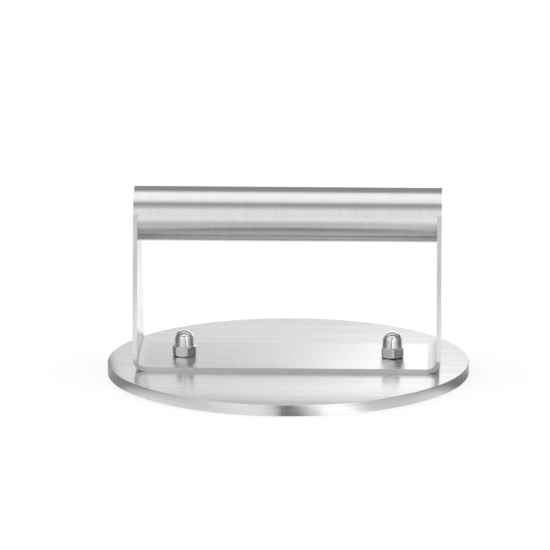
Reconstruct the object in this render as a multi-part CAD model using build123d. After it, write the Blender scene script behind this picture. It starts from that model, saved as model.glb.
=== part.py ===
from build123d import *
import math
import os

# Smash burger press: a round steel plate with a bent strap handle and a tube grip, held on by two domed nuts.
# Frame: origin at the centre of the plate's underside, +Z up, X along the handle. All sizes in millimetres.

os.makedirs("parts", exist_ok=True)

# Press plate
plate_diameter = 165.0
plate_thickness = 5.2
plate_edge_break = 0.4

# Handle bracket, one bent strap
bracket_length = 139.5
strap_width = 47.5
strap_thickness = 2.0
bend_inner_radius = 4.0

# Grip tube, welded between the bracket's two tabs
tube_diameter = 25.0
tube_wall = 1.2
grip_axis_above_plate = 68.2

# Weld studs
stud_spacing = 95.0
stud_diameter = 6.0
stud_engagement = 6.5
stud_tip_chamfer = 0.8
stud_weld_collar = 0.4
stud_hole_clearance = 0.5

# Domed cap nuts
nut_across_flats = 10.0
nut_corner_radius = 1.2
nut_hex_height = 4.8
nut_bearing_diameter = 9.2
nut_chamfer_angle = 30.0
nut_height = 11.8
dome_base_diameter = 9.0
dome_side_taper = 6.0
dome_crown_radius = 5.0
dome_shoulder_radius = 1.4
bore_end_clearance = 1.5
bore_mouth_chamfer = 0.4
thread_clearance = 0.05
drill_point_angle = 118.0
left_nut_turn = 14.5
right_nut_turn = 5.0

# Levels and places worked out from the sizes above
strap_top = plate_thickness + strap_thickness
grip_axis_height = plate_thickness + grip_axis_above_plate
tube_radius = tube_diameter / 2
tube_length = bracket_length - 2 * strap_thickness
leg_start = strap_top + bend_inner_radius
leg_end = grip_axis_height + tube_radius
stud_radius = stud_diameter / 2
stud_places = {"left": -stud_spacing / 2, "right": stud_spacing / 2}
nut_turns = {"left": left_nut_turn, "right": right_nut_turn}


def press_plate():
    """The round plate, with its top and bottom edges lightly broken."""
    disc = Cylinder(plate_diameter / 2, plate_thickness, align=(Align.CENTER, Align.CENTER, Align.MIN))
    return chamfer(disc.edges().filter_by(GeomType.CIRCLE), plate_edge_break)


def strap_face(half_length, floor, bend_radius):
    """One face of the bent strap seen from the front: up a leg, along the base and up the other leg."""
    corners = [(-half_length, leg_end), (-half_length, floor), (half_length, floor), (half_length, leg_end)]
    return FilletPolyline(*corners, radius=bend_radius)


def handle_bracket():
    """The bent strap, with its legs cut to a taper that ends in half-round tabs, and its two stud holes."""
    half_length = bracket_length / 2
    with BuildPart() as bracket:
        with BuildSketch(Plane.XZ):
            with BuildLine():
                outer = strap_face(half_length, plate_thickness, bend_inner_radius + strap_thickness)
                inner = strap_face(half_length - strap_thickness, strap_top, bend_inner_radius)
                Line(outer @ 0, inner @ 0)
                Line(outer @ 1, inner @ 1)
            make_face()
        extrude(amount=strap_width / 2, both=True)
        with BuildSketch(Plane.YZ):
            with Locations((0, grip_axis_height)):
                Circle(tube_radius)
            with Locations((0, plate_thickness)):
                Rectangle(strap_width, leg_start - plate_thickness, align=(Align.CENTER, Align.MIN))
            make_hull()
        extrude(amount=half_length, both=True, mode=Mode.INTERSECT)
        with Locations([(x, 0, strap_top) for x in stud_places.values()]):
            Hole(stud_radius + stud_hole_clearance, depth=strap_thickness)
    return bracket.part


def grip_tube():
    """The tube between the bracket's tabs, open inside, with square ends that butt against the tabs."""
    wall = Circle(tube_radius) - Circle(tube_radius - tube_wall)
    axis_plane = Plane(origin=(-tube_length / 2, 0, grip_axis_height), x_dir=(0, 1, 0), z_dir=(1, 0, 0))
    return extrude(axis_plane * wall, amount=tube_length)


def turned(profile):
    """The solid of revolution of a half profile drawn with its radius along X and its height along Y."""
    return revolve(Plane.XZ * profile, Axis.Z)


def weld_stud(x):
    """A stud standing on the plate, with the small collar of its weld and a chamfered tip."""
    length = strap_thickness + stud_engagement
    half = Polyline(
        (0, 0),
        (stud_radius + stud_weld_collar, 0),
        (stud_radius, stud_weld_collar),
        (stud_radius, length - stud_tip_chamfer),
        (stud_radius - stud_tip_chamfer, length),
        (0, length),
        close=True,
    )
    return Pos(x, 0, plate_thickness) * turned(make_face(half))


def cap_nut(x, turn):
    """A domed nut on the strap, with one corner of its hexagon turned that far from the front."""
    bearing_radius = nut_bearing_diameter / 2
    base_radius = dome_base_diameter / 2
    corner_radius = nut_across_flats / math.sqrt(3)
    chamfer_slope = math.tan(math.radians(nut_chamfer_angle))
    chamfered_turning = Polyline(
        (0, 0),
        (bearing_radius, 0),
        (corner_radius, (corner_radius - bearing_radius) * chamfer_slope),
        (corner_radius, nut_hex_height - (corner_radius - base_radius) * chamfer_slope),
        (base_radius, nut_hex_height),
        (0, nut_hex_height),
        close=True,
    )
    hexagon = RegularPolygon(nut_across_flats / 2, 6, major_radius=False)
    prism = extrude(fillet(hexagon.vertices(), nut_corner_radius), amount=nut_hex_height)
    return Pos(x, 0, strap_top) * Rot(Z=turn - 90) * (
        (prism & turned(make_face(chamfered_turning))) + turned(dome_profile()) - turned(bore_profile())
    )


def dome_profile():
    """Half of the nut's dome: a slightly tapered side, a rounded shoulder and a crown."""
    base_radius = dome_base_diameter / 2
    dome_height = nut_height - nut_hex_height
    top_radius = base_radius - dome_height * math.tan(math.radians(dome_side_taper))
    side = make_face(
        Polyline(
            (0, nut_hex_height),
            (base_radius, nut_hex_height),
            (top_radius, nut_height),
            (0, nut_height),
            close=True,
        )
    )
    crown_centre = nut_height - dome_crown_radius
    crown = Pos(0, crown_centre) * Circle(dome_crown_radius)
    below_crown = Rectangle(2 * dome_crown_radius, crown_centre, align=(Align.CENTER, Align.MIN))
    profile = side & (crown + below_crown)
    shoulder = profile.vertices().sort_by(Axis.Y)[-2]
    return fillet(shoulder, dome_shoulder_radius)


def bore_profile():
    """Half of the nut's blind bore, with a chamfered mouth and the drill's cone at its end."""
    bore_radius = stud_radius + thread_clearance
    bore_depth = stud_engagement + bore_end_clearance
    drill_tip = bore_radius / math.tan(math.radians(drill_point_angle / 2))
    return make_face(
        Polyline(
            (0, 0),
            (bore_radius + bore_mouth_chamfer, 0),
            (bore_radius, bore_mouth_chamfer),
            (bore_radius, bore_depth),
            (0, bore_depth + drill_tip),
            close=True,
        )
    )


pieces = {
    "press_plate": press_plate(),
    "handle_bracket": handle_bracket(),
    "grip_tube": grip_tube(),
}
for side, x in stud_places.items():
    pieces[f"{side}_weld_stud"] = weld_stud(x)
    pieces[f"{side}_cap_nut"] = cap_nut(x, nut_turns[side])

for name, shape in pieces.items():
    export_step(shape, f"parts/{name}.step")
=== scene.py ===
import math
import bmesh
import bpy
from mathutils import Matrix, Vector


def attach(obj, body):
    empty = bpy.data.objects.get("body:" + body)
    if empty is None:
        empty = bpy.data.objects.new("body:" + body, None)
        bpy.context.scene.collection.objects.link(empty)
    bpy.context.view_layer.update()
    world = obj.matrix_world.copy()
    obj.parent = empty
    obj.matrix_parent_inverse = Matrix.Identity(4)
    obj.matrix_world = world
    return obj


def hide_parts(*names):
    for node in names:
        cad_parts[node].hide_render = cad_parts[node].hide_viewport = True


# Smash burger press in brushed and polished steel. Metres, origin at the centre of the plate's underside,
# +Z up, X along the handle, the photograph's side at -Y.

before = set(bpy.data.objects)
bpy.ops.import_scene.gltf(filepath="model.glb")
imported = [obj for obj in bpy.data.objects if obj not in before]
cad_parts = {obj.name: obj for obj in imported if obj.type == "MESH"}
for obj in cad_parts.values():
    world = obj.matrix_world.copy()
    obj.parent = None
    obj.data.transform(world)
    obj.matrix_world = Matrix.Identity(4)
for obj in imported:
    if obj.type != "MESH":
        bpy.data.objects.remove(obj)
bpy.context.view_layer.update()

MM = 0.001

# Sizes, as in the solids, with angles in degrees
PLATE_RADIUS = 82.5 * MM
PLATE_THICKNESS = 5.2 * MM
PLATE_EDGE = 0.4 * MM
BRACKET_HALF = 69.75 * MM
STRAP_HALF_WIDTH = 23.75 * MM
STRAP = 2.0 * MM
BEND_INNER = 4.0 * MM
STRAP_TOP = PLATE_THICKNESS + STRAP
LEG_START = STRAP_TOP + BEND_INNER
LEG_INSIDE = BRACKET_HALF - STRAP
TUBE_RADIUS = 12.5 * MM
TUBE_WALL = 1.2 * MM
AXIS_Z = 73.4 * MM
NUT_X = 47.5 * MM
NUT_FLATS = 10.0 * MM
NUT_CORNER = 1.2 * MM
NUT_HEX = 4.8 * MM
NUT_BEARING = 9.2 * MM
NUT_CHAMFER = 30.0
NUT_HEIGHT = 11.8 * MM
CROWN_RADIUS = 5.0 * MM
SHOULDER = 1.4 * MM
BORE_RADIUS = 3.05 * MM
BORE_MOUTH = 0.4 * MM
NUT_TURNS = {"left": 14.5, "right": 5.0}

# Sizes that only the looks have: a fuller dome, a shorter bore and broken edges
DOME_BASE = 9.3 * MM
DOME_TAPER = 5.0
BORE_DEPTH = 7.0 * MM
STRAP_EDGE_BREAK = 0.42 * MM
UNDER_BASE_SHARE = 0.25
WELD_BELOW_AXIS = 4.0 * MM
NUT_EDGE_BREAK = 0.12 * MM

# Fineness of the meshes, and distances that count as none
PLATE_SEGMENTS = 288
PLATE_EDGE_STEPS = 5
TAB_STEPS = 40
BEND_STEPS = 14
TUBE_SEGMENTS = 224
TUBE_STEPS = 24
NUT_SEGMENTS = 240
DOME_SIDE_STEPS = 4
SHOULDER_STEPS = 12
CROWN_STEPS = 14
SAME_POINT = 0.0001 * MM
TOUCHING = 0.001 * MM

# How nearly a face looks along Z, X or Y to count as flat, as upright or as one of the strap's narrow sides
FLAT_NORMAL = 0.98
UPRIGHT_NORMAL = 0.999
SIDE_NORMAL = 0.9

# The map whose first direction runs across the brush lines. Only its directions matter, and the scale keeps
# its numbers away from rounding.
MAP_NAME = "across_brush"
MAP_SCALE = 10

# How many times the grain of brushed steel changes in a metre, along the lines and twice across them
FINE_GRAIN = (45.0, 4200.0, 4200.0)
MIDDLE_GRAIN = (14.0, 1100.0, 1100.0)
BROAD_GRAIN = (9.0, 230.0, 230.0)
FINE_SHARE = 0.45
BROAD_SHARE = 0.8
BRUSH_DEPTH = 0.02 * MM

# The same for the nuts' polished steel along X, Y and Z, and how much its tone and its roughness change
CLOUD_GRAIN = (420.0, 420.0, 420.0)
HAZE_GRAIN = (60.0, 60.0, 60.0)
TURNING_GRAIN = (90.0, 90.0, 5200.0)
TURNING_BUMP = 0.12
TURNING_DEPTH = 0.01 * MM
CLOUD_RANGE = (-0.02, 0.02)
HAZE_RANGE = (-0.02, 0.03)


# Shader helpers

def add(tree, kind, **values):
    node = tree.nodes.new(kind)
    for key, value in values.items():
        setattr(node, key, value)
    return node


def join(tree, a, b):
    tree.links.new(a, b)


def math_node(tree, operation, a, b=None, clamp=False):
    node = add(tree, "ShaderNodeMath", operation=operation, use_clamp=clamp)
    for index, value in enumerate((a, b)):
        if value is None:
            continue
        if isinstance(value, (int, float)):
            node.inputs[index].default_value = value
        else:
            join(tree, value, node.inputs[index])
    return node.outputs[0]


def remap(tree, value, low, high, to_low, to_high, interpolation="LINEAR"):
    node = add(tree, "ShaderNodeMapRange", interpolation_type=interpolation)
    join(tree, value, node.inputs["Value"])
    for key, number in (("From Min", low), ("From Max", high), ("To Min", to_low), ("To Max", to_high)):
        node.inputs[key].default_value = number
    return node.outputs["Result"]


def mix(tree, factor, a, b):
    node = add(tree, "ShaderNodeMix", data_type="RGBA")
    join(tree, factor, node.inputs["Factor"])
    join(tree, a, node.inputs["A"])
    join(tree, b, node.inputs["B"])
    return node.outputs["Result"]


def own_places(tree):
    return add(tree, "ShaderNodeTexCoord").outputs["Object"]


def split(tree, places):
    node = add(tree, "ShaderNodeSeparateXYZ")
    join(tree, places, node.inputs["Vector"])
    return node.outputs


def noise(tree, places, scale, detail, rough=0.6, shift=0.0):
    """Noise that changes so many times in a metre in each direction. Where these differ, it forms lines."""
    mapping = add(tree, "ShaderNodeMapping")
    mapping.inputs["Scale"].default_value = scale
    mapping.inputs["Location"].default_value = (shift, shift, shift)
    join(tree, places, mapping.inputs["Vector"])
    grain = add(tree, "ShaderNodeTexNoise")
    grain.inputs["Scale"].default_value = 1.0
    grain.inputs["Detail"].default_value = detail
    grain.inputs["Roughness"].default_value = rough
    join(tree, mapping.outputs["Vector"], grain.inputs["Vector"])
    return grain.outputs["Fac"]


def vary(tree, grain, low, high):
    """Values from low to high that follow a noise, most of which lies between 0.3 and 0.7."""
    return remap(tree, grain, 0.3, 0.7, low, high)


# Steel

def steel(name):
    material = bpy.data.materials.new(name)
    material.use_nodes = True
    shader = material.node_tree.nodes["Principled BSDF"]
    shader.inputs["Metallic"].default_value = 1.0
    return material, material.node_tree, shader


def dress(tree, shader, level, gloss, height, bump, depth):
    """Gives the shader a grey level, a gloss, and a relief from a height."""
    colour = add(tree, "ShaderNodeCombineColor")
    for socket in colour.inputs[:3]:
        join(tree, level, socket)
    join(tree, colour.outputs["Color"], shader.inputs["Base Color"])
    join(tree, gloss, shader.inputs["Roughness"])
    relief = add(tree, "ShaderNodeBump")
    relief.inputs["Strength"].default_value = bump
    relief.inputs["Distance"].default_value = depth
    join(tree, height, relief.inputs["Height"])
    join(tree, relief.outputs["Normal"], shader.inputs["Normal"])


def line_places(tree, layout):
    """Places counted along the brush lines first and across them second."""
    places = own_places(tree)
    if layout == "straight":
        return places
    x, y, z = split(tree, places)
    if layout == "round_tube":
        turn = math_node(tree, "ARCTAN2", math_node(tree, "SUBTRACT", z, AXIS_Z), y)
        along, across = math_node(tree, "MULTIPLY", turn, TUBE_RADIUS), x
    elif layout == "round_rim":
        turn = math_node(tree, "ARCTAN2", x, math_node(tree, "MULTIPLY", y, -1.0))
        along, across = math_node(tree, "MULTIPLY", turn, PLATE_RADIUS), z
    elif layout == "strap":
        along, across = math_node(tree, "ADD", math_node(tree, "ABSOLUTE", x), z), y
    packed = add(tree, "ShaderNodeCombineXYZ")
    join(tree, along, packed.inputs[0])
    join(tree, across, packed.inputs[1])
    return packed.outputs["Vector"]


def brushed_steel(name, grey, rough, anisotropy, streak=0.04, bump=0.25, layout="straight", uneven=0.06):
    """Stainless steel with brush lines that run as the layout says.

    streak and uneven are how much its tone and its roughness change from line to line.
    """
    material, tree, shader = steel(name)
    lines = line_places(tree, layout)
    fine = noise(tree, lines, FINE_GRAIN, detail=2.0)
    middle = noise(tree, lines, MIDDLE_GRAIN, detail=3.0, shift=3.7)
    broad = noise(tree, lines, BROAD_GRAIN, detail=2.0, shift=9.1)
    both = math_node(tree, "ADD", math_node(tree, "MULTIPLY", fine, FINE_SHARE),
                     math_node(tree, "MULTIPLY", middle, 1 - FINE_SHARE))
    wide = streak * BROAD_SHARE
    tone = math_node(tree, "ADD", vary(tree, both, -streak, streak), vary(tree, broad, -wide, wide))
    level = math_node(tree, "ADD", tone, grey)
    gloss = math_node(tree, "ADD", vary(tree, both, -uneven, uneven), rough, clamp=True)
    dress(tree, shader, level, gloss, both, bump, BRUSH_DEPTH)
    spread = add(tree, "ShaderNodeTangent", direction_type="UV_MAP", uv_map=MAP_NAME)
    join(tree, spread.outputs["Tangent"], shader.inputs["Tangent"])
    shader.inputs["Anisotropic"].default_value = anisotropy
    return material


def polished_steel(name, grey, rough):
    """Bright nut steel: nearly a mirror, with faint turning lines and a slightly uneven tone and gloss."""
    material, tree, shader = steel(name)
    places = own_places(tree)
    cloud = noise(tree, places, CLOUD_GRAIN, detail=3.0, rough=0.5)
    haze = noise(tree, places, HAZE_GRAIN, detail=1.0)
    turning = noise(tree, places, TURNING_GRAIN, detail=2.0, rough=0.5)
    level = math_node(tree, "ADD", vary(tree, cloud, *CLOUD_RANGE), grey)
    gloss = math_node(tree, "ADD", vary(tree, haze, *HAZE_RANGE), rough, clamp=True)
    dress(tree, shader, level, gloss, turning, TURNING_BUMP, TURNING_DEPTH)
    return material


plate_top_steel = brushed_steel("plate_top_brushed_straight", 0.54, 0.20, 0.8, streak=0.045, uneven=0.02)
plate_rim_steel = brushed_steel("plate_rim_brushed_round", 0.62, 0.30, 0.9, streak=0.05,
                                layout="round_rim", uneven=0.03)
strap_face_steel = brushed_steel("strap_brushed_along", 0.585, 0.28, 0.85, streak=0.03,
                                 layout="strap", uneven=0.02)
leg_face_steel = brushed_steel("strap_leg_brushed_along", 0.60, 0.14, 0.5, streak=0.03, bump=0.06,
                               layout="strap", uneven=0.02)
# The strap's narrow edges get lighter copies of its steel than its faces: painted light on the edges.
strap_edge_steel = brushed_steel("strap_edge_painted_light", 0.72, 0.26, 0.5, streak=0.02, bump=0.05,
                                 layout="strap", uneven=0.01)
base_edge_steel = brushed_steel("strap_base_edge_painted_light", 0.76, 0.34, 0.3, streak=0.03, bump=0.1,
                                layout="strap", uneven=0.02)
tube_steel = brushed_steel("tube_brushed_round", 0.64, 0.32, 0.9, streak=0.02,
                           layout="round_tube", uneven=0.03)
stud_steel = brushed_steel("stud_plain", 0.55, 0.3, 0.2, streak=0.03)
nut_steel = polished_steel("nut_polished", 0.64, 0.07)


# Mesh helpers

def finish_piece(bm, name, materials, nodes, across, sharp=30.0, bevel=None, bevel_angle=None,
                 weights=None):
    """Makes the object that replaces the nodes, with the brush map that across gives.

    With a bevel, edges are broken where they turn more than bevel_angle, or by the share of the bevel that
    weights gives for an edge's two ends.
    """
    bmesh.ops.remove_doubles(bm, verts=bm.verts, dist=SAME_POINT)
    bmesh.ops.recalc_face_normals(bm, faces=bm.faces)
    layer = bm.loops.layers.uv.new(MAP_NAME)
    for face in bm.faces:
        face.smooth = True
        for loop in face.loops:
            loop[layer].uv = across(face, loop.vert.co)
    mesh = bpy.data.meshes.new(name)
    bm.to_mesh(mesh)
    bm.free()
    for material in materials:
        mesh.materials.append(material)
    piece = bpy.data.objects.new(name, mesh)
    bpy.context.scene.collection.objects.link(piece)
    mesh.set_sharp_from_angle(angle=math.radians(sharp))
    if bevel:
        rounding = piece.modifiers.new("edge_break", "BEVEL")
        rounding.width = bevel
        rounding.segments = 3
        if weights:
            rounding.limit_method = "WEIGHT"
            chosen = mesh.attributes.new("bevel_weight_edge", "FLOAT", "EDGE")
            for edge in mesh.edges:
                ends = [mesh.vertices[v].co for v in edge.vertices]
                chosen.data[edge.index].value = weights(*ends) if edge.use_edge_sharp else 0.0
        else:
            rounding.limit_method = "ANGLE"
            rounding.angle_limit = math.radians(bevel_angle)
        rounding.harden_normals = True
    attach(piece, "root")
    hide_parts(*nodes)


def turns(segments):
    """Equal steps of angle round a whole turn."""
    return [2 * math.pi * k / segments for k in range(segments)]


def circle(bm, radius, height, segments):
    """A ring of points round the Z axis."""
    return [bm.verts.new((radius * math.cos(a), radius * math.sin(a), height)) for a in turns(segments)]


def join_rings(bm, rings):
    """Faces between each ring of points and the next."""
    for low, high in zip(rings, rings[1:]):
        for k in range(len(low)):
            n = (k + 1) % len(low)
            bm.faces.new([low[k], low[n], high[n], high[k]])


def fan(bm, ring, middle):
    """Faces between a ring of points and one point in its middle."""
    for k in range(len(ring)):
        bm.faces.new([ring[k], ring[(k + 1) % len(ring)], middle])


def arc(centre, radius, start, end, steps):
    points = []
    for k in range(steps + 1):
        a = math.radians(start + (end - start) * k / steps)
        points.append((centre[0] + radius * math.cos(a), centre[1] + radius * math.sin(a)))
    return points


def near_turn(angle, other):
    """The angle with the whole turns added that bring it nearest to the other."""
    return angle + 2 * math.pi * round((other - angle) / (2 * math.pi))


# Plate, with a ring at half its radius that keeps its flat faces even

FLAT_FACE, RIM_FACE = range(2)


def build_plate():
    bm = bmesh.new()
    r, t, e = PLATE_RADIUS, PLATE_THICKNESS, PLATE_EDGE
    lower_edge = arc((r - e, e), e, -90, 0, PLATE_EDGE_STEPS)
    upper_edge = arc((r - e, t - e), e, 0, 90, PLATE_EDGE_STEPS)
    profile = [(r / 2, 0.0)] + lower_edge + upper_edge + [(r / 2, t)]
    rings = [circle(bm, radius, height, PLATE_SEGMENTS) for radius, height in profile]
    join_rings(bm, rings)
    fan(bm, rings[0], bm.verts.new((0.0, 0.0, 0.0)))
    fan(bm, rings[-1], bm.verts.new((0.0, 0.0, t)))
    bm.normal_update()
    for face in bm.faces:
        face.material_index = FLAT_FACE if abs(face.normal.z) > FLAT_NORMAL else RIM_FACE

    def across(face, co):
        if face.material_index == FLAT_FACE:
            return (co.y * MAP_SCALE, co.x * MAP_SCALE)
        centre = face.calc_center_median()
        turn = near_turn(math.atan2(co.y, co.x), math.atan2(centre.y, centre.x))
        drop = math.hypot(co.x, co.y) - r
        way = 1.0 if centre.z > t / 2 else -1.0
        return ((co.z - way * drop) * MAP_SCALE, turn)

    finish_piece(bm, "steel_press_plate", [plate_top_steel, plate_rim_steel],
                 ["press_plate"], across, sharp=60.0)


# Handle strap: two tapered legs with half-round tabs, two bends and the flat base

STRAP_FACE, STRAP_EDGE, TAB_RIM, LEG_FACE, BASE_EDGE = range(5)


def leg_outline():
    """Half widths and heights of a leg: full width, straight to the tab's circle, and round it to the top."""
    far = math.hypot(STRAP_HALF_WIDTH, LEG_START - AXIS_Z)
    tangent = math.atan2(LEG_START - AXIS_Z, STRAP_HALF_WIDTH) + math.acos(TUBE_RADIUS / far)
    tab = arc((0.0, AXIS_Z), TUBE_RADIUS, math.degrees(tangent), 90, TAB_STEPS)
    return [(STRAP_HALF_WIDTH, LEG_START)] + tab


def build_bracket():
    bm = bmesh.new()
    half_outline = leg_outline()
    outline = half_outline + [(-y, z) for y, z in reversed(half_outline[:-1])]
    legs = {}
    for side in (-1, 1):
        for layer, x in (("outer", BRACKET_HALF), ("inner", LEG_INSIDE)):
            legs[side, layer] = [bm.verts.new((side * x, y, z)) for y, z in outline]
            bm.faces.new(legs[side, layer])
        outer, inner = legs[side, "outer"], legs[side, "inner"]
        for k in range(len(outline) - 1):
            n = k + 1
            face = bm.faces.new([outer[k], outer[n], inner[n], inner[k]])
            on_tab = outline[k][1] > AXIS_Z and outline[n][1] > AXIS_Z
            face.material_index = TAB_RIM if on_tab else STRAP_EDGE

    bends = {}
    for side in (-1, 1):
        for layer, radius in (("outer", BEND_INNER + STRAP), ("inner", BEND_INNER)):
            leg = legs[side, layer]
            pairs = [(leg[0], leg[-1])]
            for x, z in arc((LEG_INSIDE - BEND_INNER, LEG_START), radius, 0, -90, BEND_STEPS)[1:]:
                pairs.append([bm.verts.new((side * x, y, z)) for y in (STRAP_HALF_WIDTH, -STRAP_HALF_WIDTH)])
            for (a0, a1), (b0, b1) in zip(pairs, pairs[1:]):
                bm.faces.new([a0, a1, b1, b0])
            bends[side, layer] = pairs
        outer, inner = bends[side, "outer"], bends[side, "inner"]
        for end in (0, 1):
            for k in range(BEND_STEPS):
                n = k + 1
                face = bm.faces.new([outer[k][end], outer[n][end], inner[n][end], inner[k][end]])
                face.material_index = STRAP_EDGE

    lower = [bends[-1, "outer"][-1], bends[1, "outer"][-1]]
    upper = [bends[-1, "inner"][-1], bends[1, "inner"][-1]]
    for left, right in (lower, upper):
        bm.faces.new([left[0], left[1], right[1], right[0]])
    for end in (0, 1):
        face = bm.faces.new([lower[0][end], lower[1][end], upper[1][end], upper[0][end]])
        face.material_index = BASE_EDGE

    bmesh.ops.recalc_face_normals(bm, faces=bm.faces)
    for face in bm.faces:
        on_leg = abs(face.normal.x) > UPRIGHT_NORMAL and face.calc_center_median().z > LEG_START
        if face.material_index == STRAP_FACE and on_leg:
            face.material_index = LEG_FACE
    bend_middle = LEG_START - 0.7 * BEND_INNER

    def across(face, co):
        if abs(face.normal.y) > SIDE_NORMAL:
            return (co.x * MAP_SCALE, co.z * MAP_SCALE)
        if face.material_index in (STRAP_EDGE, TAB_RIM):
            return (co.x * MAP_SCALE, (co.y + co.z) * MAP_SCALE)
        travel = abs(co.x) if co.z < bend_middle else BRACKET_HALF + co.z
        return (co.y * MAP_SCALE, travel * MAP_SCALE)

    def rounding(a, b):
        """How far an edge is broken: not where the grip is welded on, and less under the base."""
        on_inside = max(abs(abs(p.x) - LEG_INSIDE) for p in (a, b)) < TOUCHING
        if on_inside and min(a.z, b.z) > AXIS_Z - WELD_BELOW_AXIS:
            return 0.0
        if max(a.z, b.z) < PLATE_THICKNESS + TOUCHING:
            return UNDER_BASE_SHARE
        return 1.0

    materials = [strap_face_steel, strap_edge_steel, tube_steel, leg_face_steel, base_edge_steel]
    finish_piece(bm, "steel_handle_bracket", materials, ["handle_bracket"], across,
                 bevel=STRAP_EDGE_BREAK, weights=rounding)


# Grip tube

def build_tube():
    bm = bmesh.new()
    shells = []
    for radius in (TUBE_RADIUS, TUBE_RADIUS - TUBE_WALL):
        shell = []
        for step in range(TUBE_STEPS + 1):
            x = -LEG_INSIDE + 2 * LEG_INSIDE * step / TUBE_STEPS
            shell.append([bm.verts.new((x, radius * math.cos(a), AXIS_Z + radius * math.sin(a)))
                          for a in turns(TUBE_SEGMENTS)])
        join_rings(bm, shell)
        shells.append(shell)
    for end in (0, -1):
        join_rings(bm, [shell[end] for shell in shells])

    def across(face, co):
        centre = face.calc_center_median()
        turn = math.atan2(co.z - AXIS_Z, co.y)
        return (co.x * MAP_SCALE, near_turn(turn, math.atan2(centre.z - AXIS_Z, centre.y)))

    finish_piece(bm, "steel_grip_tube", [tube_steel], ["grip_tube"], across, sharp=40.0)


# Domed nuts

def hexagon_radius(a):
    """Distance from the nut's axis to its side at angle a, with rounded corners."""
    flat = NUT_FLATS / 2
    half_sector = math.pi / 6
    from_flat = abs(a % (2 * half_sector) - half_sector)
    from_corner = half_sector - from_flat
    if from_flat <= math.atan2((flat - NUT_CORNER) * math.tan(half_sector), flat):
        return flat / math.cos(from_flat)
    round_centre = (flat - NUT_CORNER) / math.cos(half_sector)
    reach = NUT_CORNER ** 2 - (round_centre * math.sin(from_corner)) ** 2
    return round_centre * math.cos(from_corner) + math.sqrt(max(reach, 0.0))


def dome_points():
    """Half profile of the dome, from its foot up to just short of its tip: tapered side, shoulder, crown."""
    taper = math.radians(DOME_TAPER)
    base = DOME_BASE / 2
    crown_z = NUT_HEIGHT - CROWN_RADIUS
    # The shoulder's centre lies as far inside the side as inside the crown, which gives a quadratic equation
    side_x = base - SHOULDER / math.cos(taper)
    slope = math.tan(taper)
    crown_height = crown_z - NUT_HEX
    a = 1 + slope ** 2
    b = -2 * (side_x * slope + crown_height)
    c = side_x ** 2 + crown_height ** 2 - (CROWN_RADIUS - SHOULDER) ** 2
    height = (-b + math.sqrt(b * b - 4 * a * c)) / (2 * a)
    centre = (side_x - slope * height, NUT_HEX + height)
    end = math.degrees(math.atan2(centre[1] - crown_z, centre[0]))
    shoulder = arc(centre, SHOULDER, DOME_TAPER, end, SHOULDER_STEPS)
    lean, rise = shoulder[0][0] - base, shoulder[0][1] - NUT_HEX
    shares = [k / DOME_SIDE_STEPS for k in range(DOME_SIDE_STEPS)]
    side = [(base + lean * share, NUT_HEX + rise * share) for share in shares]
    return side + shoulder + arc((0.0, crown_z), CROWN_RADIUS, end, 90, CROWN_STEPS)[1:-1]


def build_nut(side):
    bm = bmesh.new()
    x = -NUT_X if side == "left" else NUT_X
    start = math.radians(NUT_TURNS[side] - 90)
    chamfer = math.tan(math.radians(NUT_CHAMFER))
    bearing = NUT_BEARING / 2
    base = DOME_BASE / 2

    def ring(place):
        """A ring of points, each at the radius and height that place gives for its angle."""
        points = []
        for a in turns(NUT_SEGMENTS):
            radius, z = place(a)
            dx, dy = radius * math.cos(a + start), radius * math.sin(a + start)
            points.append(bm.verts.new((x + dx, dy, STRAP_TOP + z)))
        return points

    rings = [
        ring(lambda a: (BORE_RADIUS, BORE_DEPTH)),
        ring(lambda a: (BORE_RADIUS, BORE_MOUTH)),
        ring(lambda a: (BORE_RADIUS + BORE_MOUTH, 0.0)),
        ring(lambda a: (bearing, 0.0)),
        ring(lambda a: (hexagon_radius(a), (hexagon_radius(a) - bearing) * chamfer)),
        ring(lambda a: (hexagon_radius(a), NUT_HEX - (hexagon_radius(a) - base) * chamfer)),
    ]
    for point in dome_points():
        rings.append(ring(lambda a: point))
    join_rings(bm, rings)
    fan(bm, rings[-1], bm.verts.new((x, 0, STRAP_TOP + NUT_HEIGHT)))
    bm.faces.new(list(reversed(rings[0])))

    def across(face, co):
        return ((co.x - x) * MAP_SCALE, co.z * MAP_SCALE)

    finish_piece(bm, f"steel_{side}_cap_nut", [nut_steel], [f"{side}_cap_nut"], across,
                 sharp=28.0, bevel=NUT_EDGE_BREAK, bevel_angle=22.0)


build_plate()
build_bracket()
build_tube()
build_nut("left")
build_nut("right")

for name in ("left_weld_stud", "right_weld_stud"):
    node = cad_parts[name]
    for material_slot in node.material_slots:
        material_slot.material = stud_steel


# Stage: a pale floor, a white world, and three panels that only reflections see

FLOOR_REACH = 6.0
FLOOR_DROP = 0.02 * MM
FLOOR_GREY = 0.35
FLOOR_GLOW = 0.67
WHITE = (1, 1, 1, 1)

# The tent's levels round the horizon, by degrees from the front, negative to the left. Each list of levels has
# a most, which its ramp divides them by and the light's strength brings back.
TENT_RADIUS = 3.0
TENT_SEGMENTS = 96
TENT_FOOT = -0.01
TENT_MOST = 2.0
ROUND_LEVELS = [(-180, 0.40), (-148, 0.28), (-115, 0.28), (-96, 0.45), (-80, 0.55), (-66, 0.66), (-54, 0.95),
                (-44, 1.30), (-36, 1.66), (-11, 1.66), (-8, 0.15), (5, 0.15), (8, 1.66), (18, 1.80),
                (36, 1.72), (44, 1.25), (54, 0.80), (66, 0.54), (84, 0.46), (104, 0.38), (125, 0.32),
                (150, 0.32), (180, 0.40)]
# Its levels over the handle, by degrees from the front horizon over the top to the back horizon
OVER_LEVELS = [(0, 1.42), (14, 1.48), (25, 1.22), (34, 0.90), (45, 0.57), (52, 0.38), (59, 0.41), (64, 1.05),
               (70, 1.32), (90, 1.48), (108, 1.46), (115, 1.15), (121, 0.42), (150, 0.36), (180, 0.34)]
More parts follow.
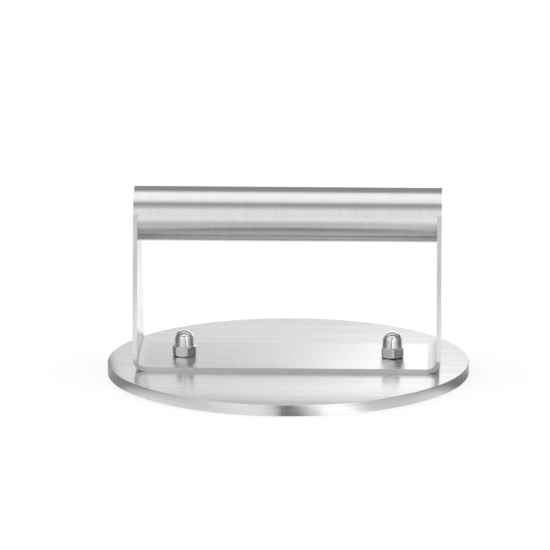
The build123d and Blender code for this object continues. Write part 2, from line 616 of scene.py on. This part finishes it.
# The elevation at which the first give way to the second, and how far their blend reaches up and down from it
LOW_BAND = [(-180, 10), (-120, 44), (-75, 48), (-40, 28), (40, 28), (75, 48), (120, 44), (180, 10)]
BAND_MOST = 90.0
BAND_BLEND = 4.0

# Levels of the table sheen round the plate, a painted reflection of the tent, and their share by the distance
# from the plate's axis
SHEEN_RADII = (82.2 * MM, 0.25, 1.2)
SHEEN_SEGMENTS = 120
SHEEN_LIFT = 0.1 * MM
SHEEN_MOST = 2.5
TABLE_LEVELS = [(-180, 2.5), (-165, 2.4), (-140, 1.5), (-120, 1.3), (-96, 0.75), (-80, 0.42), (-67, 0.42),
                (-61, 1.0), (-52, 1.40), (-40, 1.40), (-28, 1.22), (-8, 1.42), (-2.4, 1.3), (0.2, 0.30),
                (5.2, 0.30), (8, 0.75), (11, 1.2), (14.5, 2.1), (22, 2.3), (26, 1.75), (29, 1.25), (33, 1.2),
                (42, 1.2), (58, 1.45), (66, 0.85), (72, 0.3), (84, 0.3), (96, 0.75), (120, 1.3), (150, 1.6),
                (163, 2.3), (180, 2.5)]
OUTWARD_MOST = 2.0
# The share is lower near the plate, most of all just outside it: painted shade of the press on the table.
OUTWARD_LEVELS = [(0.0, 0.81), (0.08, 0.81), (0.093, 0.81), (0.106, 0.62), (0.13, 0.50), (0.17, 0.64),
                  (0.24, 0.86), (0.40, 0.96), (1.2, 1.2)]

# Levels of the board behind the plate, from its left end to its right, at four heights that blend over the
# ranges in the last list
BOARD_LEFT = -0.095
BOARD_RIGHT = 0.105
BOARD_TOP = 0.085
BOARD_Y = 0.12
BOARD_MOST = 4.0
FOOT_LEVELS = [(BOARD_LEFT, 1.10), (0.0, 1.13), (0.035, 1.18), (BOARD_RIGHT, 1.16)]
MID_LEVELS = [(BOARD_LEFT, 1.0), (-0.04, 1.03), (-0.01, 1.12), (0.015, 1.22), (0.035, 1.42), (0.05, 1.58),
              (0.064, 1.56), (0.072, 1.34), (BOARD_RIGHT, 1.28)]
TOP_LEVELS = [(BOARD_LEFT, 1.30), (-0.04, 1.30), (0.0, 1.38), (0.03, 1.45), (0.06, 1.45), (BOARD_RIGHT, 1.45)]
PEAK_LEVELS = [(BOARD_LEFT, 1.9), (-0.04, 2.0), (0.0, 2.45), (0.03, 3.0), (0.06, 3.5), (BOARD_RIGHT, 3.5)]
HEIGHT_BLENDS = [(0.016, 0.030), (0.040, 0.060), (0.060, 0.080)]


def bare_material(name):
    """A material with nothing but its output."""
    material = bpy.data.materials.new(name)
    material.use_nodes = True
    tree = material.node_tree
    tree.nodes.clear()
    return material, tree, add(tree, "ShaderNodeOutputMaterial").inputs["Surface"]


def stage_object(bm, name, material):
    mesh = bpy.data.meshes.new(name)
    bm.to_mesh(mesh)
    bm.free()
    mesh.materials.append(material)
    obj = bpy.data.objects.new(name, mesh)
    bpy.context.scene.collection.objects.link(obj)
    return obj


def make_floor():
    material, tree, surface = bare_material("pale_floor")
    diffuse = add(tree, "ShaderNodeBsdfDiffuse")
    diffuse.inputs["Color"].default_value = (FLOOR_GREY, FLOOR_GREY, FLOOR_GREY, 1)
    glow = add(tree, "ShaderNodeEmission")
    glow.inputs["Color"].default_value = WHITE
    path = add(tree, "ShaderNodeLightPath")
    seen = math_node(tree, "MAXIMUM", path.outputs["Is Camera Ray"], path.outputs["Is Glossy Ray"])
    seen = math_node(tree, "MAXIMUM", seen, path.outputs["Is Transmission Ray"])
    join(tree, math_node(tree, "MULTIPLY", seen, FLOOR_GLOW), glow.inputs["Strength"])
    both = add(tree, "ShaderNodeAddShader")
    join(tree, diffuse.outputs[0], both.inputs[0])
    join(tree, glow.outputs[0], both.inputs[1])
    join(tree, both.outputs[0], surface)
    bm = bmesh.new()
    bmesh.ops.create_grid(bm, x_segments=1, y_segments=1, size=FLOOR_REACH)
    floor = stage_object(bm, "floor", material)
    floor.location = (0, 0, -FLOOR_DROP)


def make_world():
    world = bpy.data.worlds.new("white_room")
    bpy.context.scene.world = world
    world.use_nodes = True
    plain = world.node_tree.nodes["Background"]
    plain.inputs["Color"].default_value = WHITE
    plain.inputs["Strength"].default_value = 1.0


def glow_only(obj):
    """A panel that only shows in gloss: the camera and the floor's light don't see it."""
    obj.visible_camera = False
    obj.visible_diffuse = False
    obj.visible_transmission = False
    obj.visible_volume_scatter = False
    obj.visible_shadow = False


def level_material(name):
    """A glowing material, and the three coordinates that its levels follow."""
    material, tree, surface = bare_material(name)
    material.cycles.emission_sampling = "NONE"
    glow = add(tree, "ShaderNodeEmission")
    join(tree, glow.outputs[0], surface)
    return material, tree, glow, split(tree, own_places(tree))


def ramp(tree, value, stops, most):
    """Levels along a value from the first stop to the last, straight between them, as shares of the most."""
    start, end = stops[0][0], stops[-1][0]
    node = add(tree, "ShaderNodeValToRGB")
    join(tree, remap(tree, value, start, end, 0.0, 1.0), node.inputs["Fac"])
    elements = node.color_ramp.elements
    elements[0].position, elements[1].position = 0.0, 1.0
    while len(elements) < len(stops):
        elements.new(0.5)
    for element, (place, level) in zip(elements, stops):
        share = level / most
        element.position = (place - start) / (end - start)
        element.color = (share, share, share, 1)
    return node.outputs["Color"]


def direction(tree, y, x):
    """The angle in degrees of the direction that goes y one way and x the other."""
    return math_node(tree, "MULTIPLY", math_node(tree, "ARCTAN2", y, x), 180 / math.pi)


def distance(tree, x, y):
    return math_node(tree, "SQRT", math_node(tree, "ADD", math_node(tree, "MULTIPLY", x, x),
                                             math_node(tree, "MULTIPLY", y, y)))


def make_tent():
    """Softboxes and dark flags as one half dome of light and dark zones."""
    material, tree, glow, (x, y, z) = level_material("tent_levels")
    front = math_node(tree, "MULTIPLY", y, -1.0)
    turn = direction(tree, x, front)
    low = ramp(tree, turn, ROUND_LEVELS, TENT_MOST)
    high = ramp(tree, direction(tree, z, front), OVER_LEVELS, TENT_MOST)
    band = math_node(tree, "MULTIPLY", ramp(tree, turn, LOW_BAND, BAND_MOST), BAND_MOST)
    past_band = math_node(tree, "SUBTRACT", direction(tree, z, distance(tree, x, y)), band)
    above = remap(tree, past_band, -BAND_BLEND, BAND_BLEND, 0.0, 1.0, "SMOOTHSTEP")
    join(tree, mix(tree, above, low, high), glow.inputs["Color"])
    glow.inputs["Strength"].default_value = TENT_MOST
    bm = bmesh.new()
    bmesh.ops.create_uvsphere(bm, u_segments=TENT_SEGMENTS, v_segments=TENT_SEGMENTS // 2, radius=TENT_RADIUS)
    bmesh.ops.delete(bm, geom=[v for v in bm.verts if v.co.z < TENT_FOOT], context="VERTS")
    glow_only(stage_object(bm, "tent", material))


def make_table_sheen():
    """A glowing ring that paints what the pale table shows of the tent beside the plate's rim: a painted
    reflection, with painted shade near the plate.
    """
    material, tree, glow, (x, y, _) = level_material("table_levels")
    turn = direction(tree, x, math_node(tree, "MULTIPLY", y, -1.0))
    join(tree, ramp(tree, turn, TABLE_LEVELS, SHEEN_MOST), glow.inputs["Color"])
    outward = ramp(tree, distance(tree, x, y), OUTWARD_LEVELS, OUTWARD_MOST)
    join(tree, math_node(tree, "MULTIPLY", outward, SHEEN_MOST * OUTWARD_MOST), glow.inputs["Strength"])
    bm = bmesh.new()
    join_rings(bm, [circle(bm, radius, 0.0, SHEEN_SEGMENTS) for radius in SHEEN_RADII])
    sheen = stage_object(bm, "table_sheen", material)
    sheen.location = (0, 0, SHEEN_LIFT)
    glow_only(sheen)


def make_board():
    """The white board close behind, which the plate's top shows."""
    material, tree, glow, (x, _, z) = level_material("board_levels")
    mixed = ramp(tree, x, FOOT_LEVELS, BOARD_MOST)
    for stops, (start, end) in zip((MID_LEVELS, TOP_LEVELS, PEAK_LEVELS), HEIGHT_BLENDS):
        mixed = mix(tree, remap(tree, z, start, end, 0.0, 1.0), mixed, ramp(tree, x, stops, BOARD_MOST))
    join(tree, mixed, glow.inputs["Color"])
    glow.inputs["Strength"].default_value = BOARD_MOST
    bm = bmesh.new()
    corners = ((BOARD_LEFT, 0.0), (BOARD_RIGHT, 0.0), (BOARD_RIGHT, BOARD_TOP), (BOARD_LEFT, BOARD_TOP))
    bm.faces.new([bm.verts.new((u, BOARD_Y, v)) for u, v in corners])
    glow_only(stage_object(bm, "board", material))


make_floor()
make_world()
make_tent()
make_table_sheen()
make_board()


# Camera at the photograph's viewing angle

AZIMUTH = math.radians(2.236)
ELEVATION = math.radians(12.908)
ROLL = math.radians(-0.066)
DISTANCE = 2.20149
TARGET = Vector((-0.006023, 0.0, 0.04503))
FOCAL_PIXELS = 4833.94
PHOTO_PIXELS = 550
SENSOR_WIDTH = 36.0
FAR_CLIP = 50


def make_camera():
    back = Vector((math.sin(AZIMUTH) * math.cos(ELEVATION), -math.cos(AZIMUTH) * math.cos(ELEVATION),
                   math.sin(ELEVATION)))
    right = Vector((math.cos(AZIMUTH), math.sin(AZIMUTH), 0))
    up = back.cross(right)
    turned_right = math.cos(ROLL) * right + math.sin(ROLL) * up
    turned_up = -math.sin(ROLL) * right + math.cos(ROLL) * up
    data = bpy.data.cameras.new("camera")
    data.sensor_fit = "HORIZONTAL"
    data.sensor_width = SENSOR_WIDTH
    data.lens = FOCAL_PIXELS * SENSOR_WIDTH / PHOTO_PIXELS
    data.clip_end = FAR_CLIP
    camera = bpy.data.objects.new("camera", data)
    turn = Matrix((turned_right, turned_up, back)).transposed().to_4x4()
    camera.matrix_world = Matrix.Translation(TARGET + DISTANCE * back) @ turn
    bpy.context.scene.collection.objects.link(camera)
    bpy.context.scene.camera = camera


make_camera()

scene = bpy.context.scene
scene.view_settings.view_transform = "Standard"
